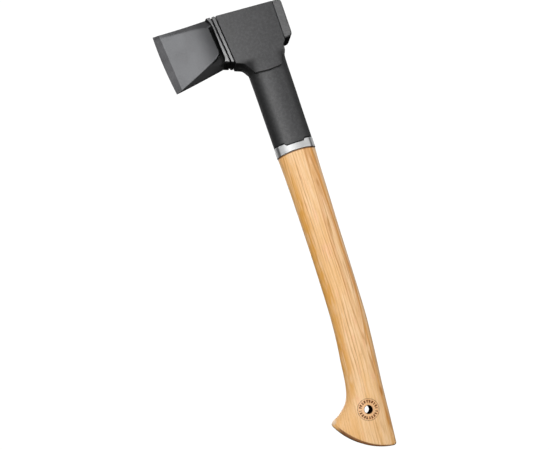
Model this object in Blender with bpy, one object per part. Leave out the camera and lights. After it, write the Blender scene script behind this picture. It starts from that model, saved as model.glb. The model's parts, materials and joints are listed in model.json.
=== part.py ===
"""Splitting hatchet: steel head locked in a moulded casing, ferrule, bonded hickory handle.

Frame: +Z runs up the neck's axis with the head on top, -X points to the cutting
edge, +X to the poll, and Y is across the cheeks.  The design is drawn from a datum
at the ferrule's top edge on the neck's axis, and everything is parented to an
empty that lifts the datum so that the world origin lies in the middle of the grip.
All dimensions below are in millimetres.
"""
import bpy
import bmesh
import math
from mathutils import Vector

# ------------------------------------------------------------------ dimensions
MM = 0.001
GAP = 0.3                  # clearance kept between touching pieces

DATUM_ABOVE_GRIP = 190.0   # ferrule's top edge above the middle of the grip

# head, in the side view (x, z)
EDGE_TOP = (-106.9, 154.3)
EDGE_BOTTOM = (-101.2, 87.4)
EDGE_BOW = 1.3             # convexity of the cutting edge
EDGE_HALF = 0.15           # half width of the flat left on the cutting edge
BEVEL_WIDTH = 7.0          # honed bevel behind the edge
BEVEL_HALF = 2.0           # half thickness where the bevel ends
CHEEK_END_X = -45.5        # end of the cheek, at mid height
CHEEK_HALF = 14.0          # half thickness there
SHOULDER_X = -42.9         # where the full section starts, at mid height
HEAD_HALF = 18.0           # half thickness of shoulder, casing and poll
MID_Z = 125.0              # height at which the raked lines are dimensioned
RAKE = 0.085               # rake of edge, shoulder and strip, dx per dz
GROOVE_RAKE = 0.100
GROOVE_X = -39.4
GROOVE_HALF_WIDTH = 0.7
GROOVE_DEPTH = 0.9
STRIP_END_X = -34.9        # rear face of the bare strip, at mid height
TOP_REAR_Z = 150.6         # top line at the poll
TOP_REAR_X = 25.1
ARRIS = 0.9                # rounding of the head's long edges
JOINT_ARRIS = 0.45         # chamfer at the joint lines
WEB_HALF = 10.5            # half thickness of the web inside the casing
WEB_BOTTOM = 109.0
WEB_TOP = 141.0
WEB_WINDOWS = ((-17.0, 125.0), (9.0, 125.0))
WINDOW_RADIUS = 6.0
POLL_FRONT_X = 25.4
POLL_BACK_X = 34.8
POLL_BOTTOM_FRONT = 106.9
POLL_BOTTOM_BACK = 108.0

# casing and neck
PLATE_ARRIS = 1.0
NECK_POWER = 2.25          # superellipse exponent of the neck's section

# ferrule
FERRULE_HEIGHT = 11.4
FERRULE_WALL = 1.7
FERRULE_HALF_DEPTH = 21.0
FERRULE_HALF_THICK = 15.7
KEY_HALF_WIDTH = 11.2      # half width of the recess in each cheek side
KEY_SLOPE = 2.0            # how far its ends run out
KEY_DEPTH = 2.2

# handle
SHOULDER_Z = -FERRULE_HEIGHT - GAP
TENON_TOP = 74.0
TENON_BASE = (17.0, 11.2)
TENON_TIP = (14.6, 9.4)
BOND_THICK = 0.8
HOLE_X, HOLE_Z, HOLE_RADIUS = -16.9, -290.9, 4.25

# side outline and half thickness of the handle: front x, back x, z, half thickness
GRIP_STATIONS = (
    (-20.9, 20.9, SHOULDER_Z, 15.2),
    (-20.2, 19.9, -30.0, 15.0),
    (-19.9, 19.2, -54.0, 14.6),
    (-19.9, 18.4, -78.0, 14.2),
    (-20.0, 17.6, -102.0, 13.9),
    (-20.3, 17.0, -126.0, 13.7),
    (-20.8, 16.3, -150.0, 13.6),
    (-21.4, 15.6, -174.0, 13.5),
    (-22.6, 14.6, -198.0, 13.4),
    (-24.7, 12.7, -220.0, 13.2),
)
# flared butt: front (x, z), back (x, z), half thickness, bow of the cross line
BUTT_STATIONS = (
    ((-26.8, -236.0), (10.9, -238.0), 13.1, 0.2),
    ((-28.3, -250.0), (9.1, -254.0), 13.0, 0.6),
    ((-30.0, -261.0), (7.4, -269.0), 12.9, 1.2),
    ((-32.5, -270.5), (6.3, -281.0), 12.8, 2.0),
    ((-36.7, -278.3), (5.3, -292.0), 12.8, 3.2),
    ((-42.6, -284.0), (4.4, -303.0), 12.8, 4.6),
    ((-48.3, -288.2), (3.3, -315.0), 12.7, 6.0),
    ((-52.6, -291.0), (2.3, -325.5), 12.6, 7.2),
    ((-54.6, -293.0), (1.4, -334.4), 12.4, 8.0),
)
BUTT_ROUND = 2.2           # rounding of the butt's lower edge


# ------------------------------------------------------------------ helpers
def clear_scene():
    for obj in list(bpy.data.objects):
        bpy.data.objects.remove(obj, do_unlink=True)


def new_collection(name):
    col = bpy.data.collections.new(name)
    bpy.context.scene.collection.children.link(col)
    return col


def make_material(name, color, roughness, metallic):
    mat = bpy.data.materials.new(name)
    mat.use_nodes = True
    shader = mat.node_tree.nodes["Principled BSDF"]
    shader.inputs["Base Color"].default_value = (*color, 1.0)
    shader.inputs["Roughness"].default_value = roughness
    shader.inputs["Metallic"].default_value = metallic
    mat.diffuse_color = (*color, 1.0)
    return mat


def mesh_object(name, bm, collection):
    """A mesh object from a bmesh in millimetres."""
    bmesh.ops.scale(bm, vec=(MM, MM, MM), verts=bm.verts)
    bmesh.ops.recalc_face_normals(bm, faces=bm.faces)
    mesh = bpy.data.meshes.new(name)
    bm.to_mesh(mesh)
    bm.free()
    obj = bpy.data.objects.new(name, mesh)
    collection.objects.link(obj)
    return obj


def superellipse(half_x, half_y, power, count):
    """Points of a superellipse in the plane, one on each axis crossing."""
    points = []
    for i in range(count):
        c = math.cos(2 * math.pi * i / count)
        s = math.sin(2 * math.pi * i / count)
        x = half_x * math.copysign(abs(c) ** (2 / power), c)
        y = half_y * math.copysign(abs(s) ** (2 / power), s)
        if abs(c) < 1e-9:
            x = 0.0
        if abs(s) < 1e-9:
            y = 0.0
        points.append((x, y))
    return points


def loft(rings, cap_start=True, cap_end=True):
    """Skin a list of rings of equal count.  The caps are strips across each ring."""
    bm = bmesh.new()
    rows = [[bm.verts.new(p) for p in ring] for ring in rings]
    count = len(rows[0])
    for a, b in zip(rows, rows[1:]):
        for i in range(count):
            j = (i + 1) % count
            bm.faces.new((a[i], a[j], b[j], b[i]))
    if cap_start:
        bm.faces.new(rows[0][::-1])
    if cap_end:
        bm.faces.new(rows[-1])
    return bm


def level_ring(front, back, z, half_y, power, count):
    """A horizontal oval section between a front and a back x."""
    cx, hx = (front + back) / 2, (back - front) / 2
    return [(cx + x, y, z) for x, y in superellipse(hx, half_y, power, count)]


def rounded_outline(corners, segment=4):
    """A closed polyline from (x, z, radius) corners, each corner filleted."""
    points = []
    n = len(corners)
    for i, (x, z, radius) in enumerate(corners):
        here = Vector((x, z))
        before = Vector(corners[i - 1][:2]) - here
        after = Vector(corners[(i + 1) % n][:2]) - here
        if radius <= 0:
            points.append(here)
            continue
        u, v = before.normalized(), after.normalized()
        angle = u.angle(v)
        reach = radius / math.tan(angle / 2)
        centre = here + (u + v).normalized() * (radius / math.sin(angle / 2))
        start = here + u * reach - centre
        turn = start.angle_signed(here + v * reach - centre)
        for k in range(segment + 1):
            a = -turn * k / segment
            points.append(centre + Vector((
                start.x * math.cos(a) - start.y * math.sin(a),
                start.x * math.sin(a) + start.y * math.cos(a))))
    return points


def outline_plate(name, points, half_y, arris, collection):
    """A flat plate standing in the XZ plane: a filled 2D curve, its edges rounded."""
    curve = bpy.data.curves.new(name, "CURVE")
    curve.dimensions = "2D"
    curve.fill_mode = "BOTH"
    curve.extrude = (half_y - arris) * MM
    curve.bevel_depth = arris * MM
    curve.bevel_resolution = 1
    curve.offset = -arris * MM
    spline = curve.splines.new("POLY")
    spline.points.add(len(points) - 1)
    for p, co in zip(spline.points, points):
        p.co = (co[0] * MM, co[1] * MM, 0.0, 1.0)
    spline.use_cyclic_u = True
    temp = bpy.data.objects.new(name + "_curve", curve)
    temp.rotation_euler = (math.pi / 2, 0, 0)
    collection.objects.link(temp)
    bpy.context.view_layer.update()
    depsgraph = bpy.context.evaluated_depsgraph_get()
    mesh = bpy.data.meshes.new_from_object(temp.evaluated_get(depsgraph))
    bm = bmesh.new()
    bm.from_mesh(mesh)
    bmesh.ops.remove_doubles(bm, verts=bm.verts, dist=1e-6)
    bmesh.ops.recalc_face_normals(bm, faces=bm.faces)
    bm.to_mesh(mesh)
    bm.free()
    obj = bpy.data.objects.new(name, mesh)
    obj.matrix_world = temp.matrix_world.copy()
    collection.objects.link(obj)
    bpy.data.objects.remove(temp, do_unlink=True)
    bpy.data.curves.remove(curve)
    return obj


def hide_cutter(obj):
    obj.hide_render = True
    obj.display_type = "WIRE"


def boolean(target, tool, operation):
    mod = target.modifiers.new(operation.lower() + "_" + tool.name, "BOOLEAN")
    mod.operation = operation
    mod.solver = "EXACT"
    mod.object = tool
    hide_cutter(tool)
    return mod


def bake(obj):
    """Apply the object's modifiers."""
    bpy.context.view_layer.update()
    depsgraph = bpy.context.evaluated_depsgraph_get()
    mesh = bpy.data.meshes.new_from_object(obj.evaluated_get(depsgraph))
    obj.modifiers.clear()
    obj.data = mesh


def finish(obj, material, angle=35.0):
    obj.data.materials.clear()
    obj.data.materials.append(material)
    obj.data.shade_smooth()
    obj.data.set_sharp_from_angle(angle=math.radians(angle))


def cross_cylinder(name, x, z, radius, half_y, segments, collection):
    """A cylinder along Y."""
    bpy.ops.mesh.primitive_cylinder_add(
        vertices=segments, radius=radius * MM, depth=2 * half_y * MM,
        location=(x * MM, 0, z * MM), rotation=(math.pi / 2, 0, 0))
    obj = bpy.context.object
    obj.name = name
    for col in list(obj.users_collection):
        col.objects.unlink(obj)
    collection.objects.link(obj)
    return obj


# ------------------------------------------------------------------ steel head
ROWS = 12                  # points down one side of each head section


def smooth(t):
    t = min(1.0, max(0.0, t))
    return t * t * (3 - 2 * t)


def top_line(x):
    """Height of the head's flat top, which falls a little towards the poll."""
    t = (x - EDGE_TOP[0]) / (TOP_REAR_X - EDGE_TOP[0])
    return EDGE_TOP[1] + t * (TOP_REAR_Z - EDGE_TOP[1])


def beard_line(x):
    """Height of the blade's lower edge from its corner to the shoulder."""
    t = (x - EDGE_BOTTOM[0]) / (-44.0 - EDGE_BOTTOM[0])
    return EDGE_BOTTOM[1] + 11.7 * t - 0.3 * math.sin(math.pi * min(1, max(0, t)))


def belly_line(x):
    """Underside of the shoulder and strip, which drops towards the neck."""
    return 101.8 - 0.33 * (x + 44.0)


def raked(x_mid, rake, z):
    return x_mid - rake * (z - MID_Z)


def blade_ring(u):
    """Section of the blade.  u runs from 0 at the honed bevel to 1 at the cheek's end."""
    front = EDGE_TOP[0] + BEVEL_WIDTH + RAKE * (EDGE_TOP[1] - MID_Z)
    x_mid = front + u * (CHEEK_END_X - front)
    x_top = raked(x_mid, RAKE, top_line(x_mid))
    x_low = raked(x_mid, RAKE, beard_line(x_mid))
    top, low = top_line(x_top), beard_line(x_low)
    half = BEVEL_HALF + (CHEEK_HALF - BEVEL_HALF) * (0.52 * u + 0.48 * u ** 3)
    drop = 0.5 + 5.6 * u ** 0.85 + 4.6 * max(0.0, (u - 0.7) / 0.3) ** 2
    rise = 1.2 + 12.2 * u + 3.0 * max(0.0, (u - 0.85) / 0.15) ** 2
    side = [(top, half - 0.35 - 2.0 * u ** 1.5)]
    z0, z1 = top - drop, low + rise
    cheek_rows = ROWS - 2
    for k in range(cheek_rows):
        t = k / (cheek_rows - 1)
        side.append((z0 + t * (z1 - z0), half - 0.5 * u * (2 * t - 1) ** 2))
    side.append((low, half - 0.6 - 4.6 * u ** 1.3))
    return [(raked(x_mid, RAKE, z), y, z) for z, y in side]


def edge_side():
    """The cutting edge: a bowed line almost without width."""
    side = []
    reference = blade_ring(0.0)
    for k in range(ROWS):
        t = k / (ROWS - 1)
        # follows the spacing of the first blade section
        t = (reference[0][2] - reference[k][2]) / (reference[0][2] - reference[-1][2])
        x = EDGE_TOP[0] + t * (EDGE_BOTTOM[0] - EDGE_TOP[0])
        z = EDGE_TOP[1] + t * (EDGE_BOTTOM[1] - EDGE_TOP[1])
        side.append((x - EDGE_BOW * 4 * t * (1 - t), EDGE_HALF, z))
    return side


def block_side(x_mid, rake, half, top, low, arris, low_arris=None):
    """One side of a rectangular section with rounded long edges."""
    low_arris = low_arris or arris
    side = [(top, half - arris)]
    z0, z1 = top - arris, low + low_arris
    for k in range(ROWS - 2):
        side.append((z0 + k / (ROWS - 3) * (z1 - z0), half))
    side.append((low, half - low_arris))
    return [(raked(x_mid, rake, z), y, z) for z, y in side]


def full_side(x_mid, rake, inset=0.0, arris=ARRIS):
    """Full section of shoulder and strip at a raked station."""
    x_top = raked(x_mid, rake, 151.5)
    x_low = raked(x_mid, rake, 98.5)
    return block_side(x_mid, rake, HEAD_HALF - inset, top_line(x_top) - inset,
                      belly_line(x_low) + inset, arris, 2.2 * arris)


def blend_side(a, b, t_xz, t_y):
    return [(p[0] + t_xz * (q[0] - p[0]), p[1] + t_y * (q[1] - p[1]),
             p[2] + t_xz * (q[2] - p[2])) for p, q in zip(a, b)]


def closed_ring(side):
    """Mirror one side's points across the blade's middle plane into a ring."""
    return [(x, -y, z) for x, y, z in side] + [(x, y, z) for x, y, z in reversed(side)]


def build_head(parts, tools, material):
    sides = [edge_side()]
    steps = 8
    for k in range(steps + 1):
        sides.append(blade_ring(k / steps))
    cheek_end, shoulder = sides[-1], full_side(SHOULDER_X, RAKE)
    sides.append(blend_side(cheek_end, shoulder, 0.55, 0.30))
    sides.append(blend_side(cheek_end, shoulder, 0.85, 0.72))
    sides.append(shoulder)
    # groove round the shoulder
    sides.append(full_side(GROOVE_X - GROOVE_HALF_WIDTH, GROOVE_RAKE))
    sides.append(full_side(GROOVE_X, GROOVE_RAKE, GROOVE_DEPTH))
    sides.append(full_side(GROOVE_X + GROOVE_HALF_WIDTH, GROOVE_RAKE))
    # bare strip up to the joint with the casing
    sides.append(full_side(STRIP_END_X - JOINT_ARRIS, RAKE))
    sides.append(full_side(STRIP_END_X, RAKE, JOINT_ARRIS))
    # web that the casing is moulded round
    sides.append(block_side(STRIP_END_X, RAKE, WEB_HALF, WEB_TOP, WEB_BOTTOM, 1.5))
    sides.append(block_side(POLL_FRONT_X, 0.0, WEB_HALF, WEB_TOP, WEB_BOTTOM, 1.5))
    # poll
    def poll(x, inset, arris=ARRIS):
        t = (x - POLL_FRONT_X) / (POLL_BACK_X - POLL_FRONT_X)
        low = POLL_BOTTOM_FRONT + t * (POLL_BOTTOM_BACK - POLL_BOTTOM_FRONT)
        return block_side(x, 0.0, HEAD_HALF - inset, top_line(x) - inset * 1.9,
                          low + inset * 1.3, arris, 1.5 * arris)
    sides.append(poll(POLL_FRONT_X, JOINT_ARRIS))
    sides.append(poll(POLL_FRONT_X + JOINT_ARRIS, 0.0))
    sides.append(poll(POLL_BACK_X - 3.4, 0.0))
    sides.append(poll(POLL_BACK_X - 1.5, 0.6))
    sides.append(poll(POLL_BACK_X - 0.4, 1.4))
    sides.append(poll(POLL_BACK_X, 2.5))
    bm = loft([closed_ring(s) for s in sides], cap_start=False)
    # the cutting edge's flat, a strip across the first section
    bm.verts.ensure_lookup_table()
    for k in range(ROWS - 1):
        n = 2 * ROWS
        bm.faces.new((bm.verts[k], bm.verts[n - 1 - k], bm.verts[n - 2 - k], bm.verts[k + 1]))
    head = mesh_object("axe_head", bm, parts)
    for i, (x, z) in enumerate(WEB_WINDOWS):
        boolean(head, cross_cylinder("window_%d" % i, x, z, WINDOW_RADIUS, 30, 24, tools),
                "DIFFERENCE")
    finish(head, material)
    return head


# ------------------------------------------------------------------ casing and neck
def neck_rings(count):
    """Ovals up the neck, flaring forwards and back under the casing."""
    rings = []
    levels = (
        # z, front x, back x, half thickness
        (-KEY_DEPTH, -21.0, 21.1, 15.7),
        (6.0, -21.1, 21.2, 15.8),
        (30.0, -21.3, 21.3, 15.8),
        (56.0, -21.5, 21.6, 15.8),
        (74.0, -21.8, 21.7, 15.8),
        (81.0, -22.0, 21.7, 15.8),
        (85.5, -22.3, 21.8, 15.8),
        (89.0, -23.4, 21.9, 15.8),
        (92.0, -25.3, 22.1, 15.8),
        (94.8, -28.1, 22.6, 15.8),
        (97.0, -31.2, 23.7, 15.8),
        (99.6, -31.1, 24.6, 15.8),
        (104.0, -30.8, 25.0, 15.8),
    )
    for z, front, back, half in levels:
        rings.append(level_ring(front, back, z, half, NECK_POWER, count))
    return rings


def tapered_rings(z_low, z_high, low, high, centre, power, count, steps=2):
    rings = []
    for k in range(steps + 1):
        t = k / steps
        hx = low[0] + t * (high[0] - low[0])
        hy = low[1] + t * (high[1] - low[1])
        rings.append([(centre + x, y, z_low + t * (z_high - z_low))
                      for x, y in superellipse(hx, hy, power, count)])
    return rings


def key_profile(slack):
    """Outline of the recess in the ferrule's cheek sides, widened by slack."""
    w, s, d = KEY_HALF_WIDTH + slack, KEY_SLOPE, KEY_DEPTH + slack
    return [(-w, -d), (w, -d), (w + s, 0.0), (w + s + 3 * s, 3 * d),
            (-w - s - 3 * s, 3 * d), (-w - s, 0.0)]


def profile_prism(name, points, half_y, collection):
    """A flat outline in XZ carried straight across Y."""
    bm = bmesh.new()
    near = [bm.verts.new((x, -half_y, z)) for x, z in points]
    face = bm.faces.new(near)
    out = bmesh.ops.extrude_face_region(bm, geom=[face])
    moved = [v for v in out["geom"] if isinstance(v, bmesh.types.BMVert)]
    bmesh.ops.translate(bm, vec=(0, 2 * half_y, 0), verts=moved)
    return mesh_object(name, bm, collection)


def build_casing(parts, tools, material):
    count = 40
    front_gap = GAP
    top = 151.5
    x_top = raked(STRIP_END_X + front_gap, RAKE, top)
    x_low = raked(STRIP_END_X + front_gap, RAKE, 97.4)
    back = POLL_FRONT_X - GAP
    corners = [
        (x_top, top_line(x_top), 0.0),
        (x_low, 97.2, 0.0),
        (-24.2, 93.6, 5.0),
        (-15.4, 81.2, 0.8),
        (13.2, 81.2, 0.8),
        (15.3, 86.8, 8.0),
        (19.2, 98.0, 8.0),
        (back, 105.6, 3.0),
        (back, top_line(back), 0.0),
    ]
    plate = outline_plate("neck_casing", rounded_outline(corners), HEAD_HALF,
                          PLATE_ARRIS * 0.6, parts)
    neck = mesh_object("neck_form", loft(neck_rings(count)), tools)
    boolean(plate, neck, "UNION")
    # room for the ferrule's rim all round, except at the two keys
    rim_inner = (FERRULE_HALF_DEPTH - FERRULE_WALL - GAP, FERRULE_HALF_THICK - FERRULE_WALL - GAP)
    rim = mesh_object("rim_space", loft(tapered_rings(
        -6.0, GAP, (30, 24), (30, 24), 0, NECK_POWER, count, 1)), tools)
    core = mesh_object("rim_core", loft(tapered_rings(
        -8.0, 6.0, rim_inner, rim_inner, 0, NECK_POWER, count, 1)), tools)
    boolean(rim, core, "DIFFERENCE")
    boolean(rim, profile_prism("key_core", key_profile(-GAP), 40.0, tools), "DIFFERENCE")
    boolean(plate, rim, "DIFFERENCE")
    # socket for the handle's tenon and its bond
    low = [v + 2 * GAP + BOND_THICK for v in TENON_BASE]
    high = [v + 2 * GAP + BOND_THICK for v in TENON_TIP]
    slope = [(h - l) / TENON_TOP for h, l in zip(high, low)]
    z0, z1 = -6.0, TENON_TOP + 2 * GAP + BOND_THICK
    socket = mesh_object("socket_space", loft(tapered_rings(
        z0, z1, [l + s * z0 for l, s in zip(low, slope)],
        [l + s * z1 for l, s in zip(low, slope)], 0, NECK_POWER, count, 2)), tools)
    boolean(plate, socket, "DIFFERENCE")
    # tunnel for the steel web, crossed by the two studs that fill its windows
    tunnel_sides = [
        block_side(STRIP_END_X - 4, RAKE, WEB_HALF + GAP, WEB_TOP + GAP, WEB_BOTTOM - GAP, 1.5),
        block_side(POLL_FRONT_X + 4, 0.0, WEB_HALF + GAP, WEB_TOP + GAP, WEB_BOTTOM - GAP, 1.5)]
    tunnel = mesh_object("web_space", loft([closed_ring(s) for s in tunnel_sides]), tools)
    for i, (x, z) in enumerate(WEB_WINDOWS):
        boolean(tunnel, cross_cylinder("stud_%d" % i, x, z, WINDOW_RADIUS - GAP, 34, 24, tools),
                "DIFFERENCE")
    boolean(plate, tunnel, "DIFFERENCE")
    finish(plate, material)
    return plate


# ------------------------------------------------------------------ ferrule
def build_ferrule(parts, tools, material):
    count = 48
    outer = (FERRULE_HALF_DEPTH, FERRULE_HALF_THICK)
    foot = (FERRULE_HALF_DEPTH - 0.4, FERRULE_HALF_THICK - 0.3)
    inner = (FERRULE_HALF_DEPTH - FERRULE_WALL, FERRULE_HALF_THICK - FERRULE_WALL)

    def ring(size, z, inset=0.0):
        return [(x, y, z) for x, y in superellipse(
            size[0] - inset, size[1] - inset, NECK_POWER, count)]
    rings = [
        ring(inner, -FERRULE_HEIGHT), ring(foot, -FERRULE_HEIGHT, 0.4),
        ring(foot, -FERRULE_HEIGHT + 0.4), ring(outer, -FERRULE_HEIGHT / 2),
        ring(outer, -0.4), ring(outer, 0.0, 0.4), ring(inner, 0.0),
    ]
    rings.append(rings[0])
    bm = bmesh.new()
    rows = [[bm.verts.new(p) for p in r] for r in rings[:-1]]
    rows.append(rows[0])
    for a, b in zip(rows, rows[1:]):
        for i in range(count):
            j = (i + 1) % count
            bm.faces.new((a[i], a[j], b[j], b[i]))
    ferrule = mesh_object("ferrule", bm, parts)
    boolean(ferrule, profile_prism("key_space", key_profile(0.0), 40.0, tools), "DIFFERENCE")
    finish(ferrule, material)
    return ferrule


# ------------------------------------------------------------------ bond sleeve
def build_bond(parts, material):
    count = 32
    low = [v + GAP for v in TENON_BASE]
    high = [v + GAP for v in TENON_TIP]
    z0, z1 = 1.0, TENON_TOP
    slope = [(h - l) / TENON_TOP for h, l in zip(high, low)]

    def ring(z, extra):
        return [(x, y, z) for x, y in superellipse(
            low[0] + slope[0] * z + extra, low[1] + slope[1] * z + extra,
            NECK_POWER, count)]
    rings = [
        ring(z1 + GAP, 0.0), ring(z1 / 2, 0.0), ring(z0, 0.0),
        ring(z0, BOND_THICK), ring(z1 / 2, BOND_THICK), ring(z1 + GAP + BOND_THICK, BOND_THICK),
    ]
    bond = mesh_object("tenon_adhesive", loft(rings), parts)
    finish(bond, material)
    return bond


# ------------------------------------------------------------------ handle
def bowed_ring(front, back, half_y, bow, power, count, inset=0.0, lower=0.0):
    """An oval section on a cross line from front to back that bows downwards."""
    f, b = Vector(front), Vector(back)
    across = (b - f).normalized()
    down = Vector((across.y, -across.x))
    if down.y > 0:
        down = -down
    half = (b - f).length / 2
    middle = (f + b) / 2
    ring = []
    for x, y in superellipse(1.0, 1.0, power, count):
        p = middle + across * (x * (half - inset)) + down * (bow * (1 - x * x) + lower)
        ring.append((p.x, y * (half_y - inset), p.y))
    return ring


def build_handle(parts, tools, material):
    count = 40
    rings = []
    # tenon, then the stub inside the ferrule, then the shoulder
    chamfer = 1.6
    rings.append([(x, y, TENON_TOP) for x, y in superellipse(
        TENON_TIP[0] - chamfer, TENON_TIP[1] - chamfer, NECK_POWER, count)])
    rings.append([(x, y, TENON_TOP - chamfer) for x, y in superellipse(
        TENON_TIP[0], TENON_TIP[1], NECK_POWER, count)])
    stub_top = -KEY_DEPTH - GAP
    rings.append([(x, y, stub_top) for x, y in superellipse(
        TENON_BASE[0], TENON_BASE[1], NECK_POWER, count)])
    stub = (FERRULE_HALF_DEPTH - FERRULE_WALL - GAP, FERRULE_HALF_THICK - FERRULE_WALL - GAP)
    for z in (stub_top, SHOULDER_Z):
        rings.append([(x, y, z) for x, y in superellipse(stub[0], stub[1], NECK_POWER, count)])
    front, back, z, half = GRIP_STATIONS[0]
    rings.append(level_ring(front + 0.4, back - 0.4, z, half - 0.4, NECK_POWER, count))
    rings.append(level_ring(front, back, z - 0.5, half, NECK_POWER, count))
    for front, back, z, half in GRIP_STATIONS[1:]:
        rings.append(level_ring(front, back, z, half, NECK_POWER, count))
    for front, back, half, bow in BUTT_STATIONS:
        rings.append(bowed_ring(front, back, half, bow, NECK_POWER, count))
    front, back, half, bow = BUTT_STATIONS[-1]
    for k in (1, 2, 3):
        a = math.pi / 2 * k / 3
        rings.append(bowed_ring(front, back, half, bow, NECK_POWER, count,
                                inset=BUTT_ROUND * (1 - math.cos(a)),
                                lower=BUTT_ROUND * math.sin(a)))
    bm = loft(rings, cap_end=False)
    # the butt's end face is bowed, so it is skinned in strips across the handle
    bm.verts.ensure_lookup_table()
    base = len(bm.verts) - count
    last = [bm.verts[base + i] for i in range(count)]
    for i in range(count // 2):
        a, b = last[i], last[i + 1]
        c, d = last[(count - i - 1) % count], last[(count - i) % count]
        corners = []
        for v in (a, b, c, d):
            if v not in corners:
                corners.append(v)
        bm.faces.new(corners)
    handle = mesh_object("handle", bm, parts)
    hole = cross_cylinder("hang_hole", HOLE_X, HOLE_Z, HOLE_RADIUS, 30, 28, tools)
    boolean(handle, hole, "DIFFERENCE")
    finish(handle, material, 40.0)
    return handle


# ------------------------------------------------------------------ assembly
def main():
    clear_scene()
    parts = new_collection("hatchet")
    tools = new_collection("cutters")

    steel = make_material("steel", (0.10, 0.10, 0.11), 0.42, 1.0)
    nylon = make_material("nylon", (0.035, 0.036, 0.038), 0.55, 0.0)
    satin = make_material("satin_metal", (0.62, 0.62, 0.62), 0.35, 1.0)
    epoxy = make_material("epoxy", (0.72, 0.62, 0.38), 0.45, 0.0)
    hickory = make_material("hickory", (0.72, 0.45, 0.22), 0.45, 0.0)

    built = [
        build_head(parts, tools, steel),
        build_casing(parts, tools, nylon),
        build_ferrule(parts, tools, satin),
        build_bond(parts, epoxy),
        build_handle(parts, tools, hickory),
    ]

    datum = bpy.data.objects.new("ferrule_datum", None)
    datum.empty_display_size = 0.03
    datum.location = (0, 0, DATUM_ABOVE_GRIP * MM)
    parts.objects.link(datum)
    for obj in built:
        obj.parent = datum
    for obj in tools.objects:
        hide_cutter(obj)
        if obj.parent is None:
            obj.parent = datum
    bpy.context.view_layer.update()


main()
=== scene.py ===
"""Looks of the splitting hatchet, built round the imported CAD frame.

The shapes are drawn in millimetres from a datum at the ferrule's top edge on the
neck's axis, 190 mm above the frame's origin.  +Z runs up the neck, -X points to the
cutting edge and Y is across the cheeks.
"""
import bpy
import bmesh
import json
import math
import numpy as np
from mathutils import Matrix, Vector

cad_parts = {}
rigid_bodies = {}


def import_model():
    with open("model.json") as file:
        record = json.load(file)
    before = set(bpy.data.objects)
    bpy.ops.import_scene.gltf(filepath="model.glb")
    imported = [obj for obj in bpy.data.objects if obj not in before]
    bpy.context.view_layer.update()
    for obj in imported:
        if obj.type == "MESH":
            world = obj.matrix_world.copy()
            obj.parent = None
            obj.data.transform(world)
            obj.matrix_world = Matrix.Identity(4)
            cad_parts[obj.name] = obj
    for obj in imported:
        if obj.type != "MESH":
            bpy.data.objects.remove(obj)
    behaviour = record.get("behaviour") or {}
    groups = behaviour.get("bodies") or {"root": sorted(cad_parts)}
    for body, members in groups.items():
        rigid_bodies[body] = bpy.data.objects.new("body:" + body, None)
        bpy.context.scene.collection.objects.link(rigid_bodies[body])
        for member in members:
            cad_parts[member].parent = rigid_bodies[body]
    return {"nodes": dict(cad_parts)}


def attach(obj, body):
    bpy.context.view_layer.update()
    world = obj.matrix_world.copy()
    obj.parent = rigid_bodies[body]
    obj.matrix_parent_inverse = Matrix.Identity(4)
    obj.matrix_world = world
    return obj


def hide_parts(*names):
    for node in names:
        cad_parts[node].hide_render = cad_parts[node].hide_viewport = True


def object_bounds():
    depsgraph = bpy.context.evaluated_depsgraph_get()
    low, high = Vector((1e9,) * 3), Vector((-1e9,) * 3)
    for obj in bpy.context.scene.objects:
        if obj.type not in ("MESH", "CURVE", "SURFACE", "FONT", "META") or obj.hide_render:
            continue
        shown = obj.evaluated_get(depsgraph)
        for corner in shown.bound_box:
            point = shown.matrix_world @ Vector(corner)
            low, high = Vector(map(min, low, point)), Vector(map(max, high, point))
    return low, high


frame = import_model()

CAD_LO, CAD_HI = [list(v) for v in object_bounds()]

MM = 0.001
GAP = 0.3
DATUM = 190.0

# head, in the side view
EDGE_TOP = (-106.9, 154.3)
EDGE_BOTTOM = (-101.2, 87.4)
EDGE_BOW = 1.3
EDGE_HALF = 0.15
BEVEL_WIDTH = 7.0
BEVEL_HALF = 2.0
CHEEK_HALF = 14.0
CHANNEL_HALF = 7.5          # half thickness at the floor of the channel behind the cheek
HEAD_HALF = 18.0
MID_Z = 125.0
RAKE = 0.085
GROOVE_RAKE = 0.100
GROOVE_X = -39.9
STRIP_END_X = -35.4
STRIP_FACE_X = STRIP_END_X - 0.45
TOP_REAR_Z = 150.6
TOP_REAR_X = 25.1
WEB_HALF = 10.5
WEB_BOTTOM = 109.0
WEB_TOP = 141.0
WEB_WINDOWS = ((-17.0, 125.0), (9.0, 125.0))
WINDOW_RADIUS = 6.0
POLL_FRONT_X = 25.4
POLL_BACK_X = 34.8
POLL_BOTTOM_FRONT = 106.9
POLL_BOTTOM_BACK = 108.0

NECK_POWER = 2.25
FERRULE_HEIGHT = 11.4
FERRULE_WALL = 1.7
FERRULE_HALF_DEPTH = 21.0
FERRULE_HALF_THICK = 15.7
KEY_HALF_WIDTH = 9.4
KEY_SLOPE = 2.6
KEY_DEPTH = 3.0
RIM_DROP = 0.5              # the ferrule's top edge below the datum
ARCH = 1.7                  # rise of the ferrule's lower edge at mid width

SHOULDER_Z = -FERRULE_HEIGHT - GAP
TENON_TOP = 74.0
TENON_BASE = (17.0, 11.2)
TENON_TIP = (14.6, 9.4)
BOND_THICK = 0.8
HOLE_X, HOLE_Z, HOLE_RADIUS = -16.9, -290.9, 4.25
BUTT_ROUND = 3.4            # rounding of the butt's lower edge, downwards
BUTT_INSET = 2.6            # and inwards

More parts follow.
